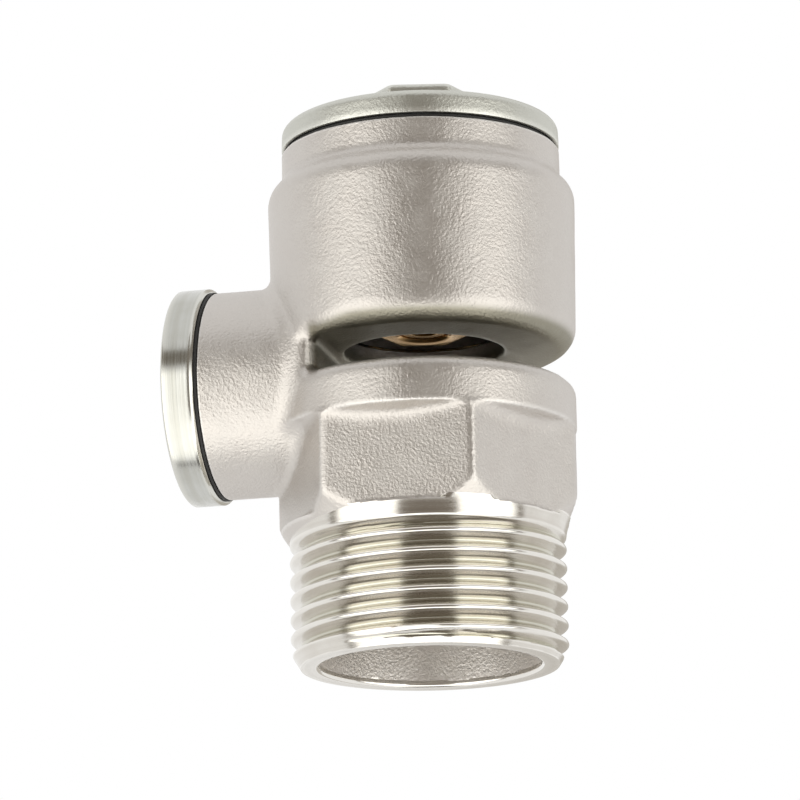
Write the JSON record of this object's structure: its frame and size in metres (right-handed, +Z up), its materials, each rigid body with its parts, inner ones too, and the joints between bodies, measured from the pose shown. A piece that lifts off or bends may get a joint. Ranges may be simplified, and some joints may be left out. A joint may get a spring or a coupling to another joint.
{
  "type": "automatic air vent",
  "caption": "Plated cast automatic air vent with an open air gap, a G 1 male inlet, a plugged side port, a screw cap and a spring-lifted valve.",
  "frame": {"origin": "on the inlet thread's axis, at the inlet's end face", "axes": "+Z up the inlet's axis towards the cap, -X along the side port's axis towards its plug"},
  "size_m": [0.048, 0.037, 0.071],
  "materials": {
    "plated_cast": "nickel-plated, shot-blasted casting with turned threads and neck",
    "plated_turned": "nickel-plated, fine turned",
    "gasket": "matt black fibre-reinforced rubber",
    "seal": "smooth black EPDM",
    "brass": "bare turned brass",
    "bush": "white acetal",
    "spring_steel": "drawn stainless wire",
    "sheet_steel": "stamped stainless sheet"
  },
  "bodies": {
    "base": {"body": "plated_cast", "guide_spider": "brass", "guide_bush": "bush", "spider_retaining_ring": "spring_steel", "spring_shim": "sheet_steel", "lifting_spring": "spring_steel"},
    "valve": {"valve_stem": "brass", "backing_plate": "brass", "seal_disc": "seal", "clamp_washer": "brass", "lock_washer": "spring_steel", "stem_nut": "brass", "spring_cup": "sheet_steel", "stem_clip": "spring_steel"},
    "cap_gasket": {"top_cap_gasket": "gasket"},
    "cap": {"top_cap": "plated_turned"},
    "plug_gasket": {"side_plug_gasket": "gasket"},
    "plug": {"side_plug": "plated_turned"}
  },
  "joints": [
    {"name": "valve_travel", "type": "slide", "parent": "base", "child": "valve", "axis": [0, 0, 1], "range_m": [-0.00325, 0], "stiffness_N_per_m": 150, "springref_m": 0.0033, "deforming": ["lifting_spring"]},
    {"name": "cap_lift", "type": "slide", "parent": "base", "child": "cap_gasket", "axis": [0, 0, 1], "range_m": [0, 0.006]},
    {"name": "cap_turn", "type": "hinge", "parent": "cap_gasket", "child": "cap", "pos_m": [0, 0, 0.06425], "axis": [0, 0, 1], "range_deg": [0, 1440]},
    {"name": "plug_out", "type": "slide", "parent": "base", "child": "plug_gasket", "axis": [-1, 0, 0], "range_m": [0, 0.00544]},
    {"name": "plug_turn", "type": "hinge", "parent": "plug_gasket", "child": "plug", "pos_m": [-0.0256, 0, 0.03505], "axis": [-1, 0, 0], "range_deg": [0, 1080]}
  ],
  "couplings": [
    {"joint": "cap_lift", "follows": "cap_turn", "m_per_rad": 0.00023873},
    {"joint": "plug_out", "follows": "plug_turn", "m_per_rad": 0.00028871}
  ]
}
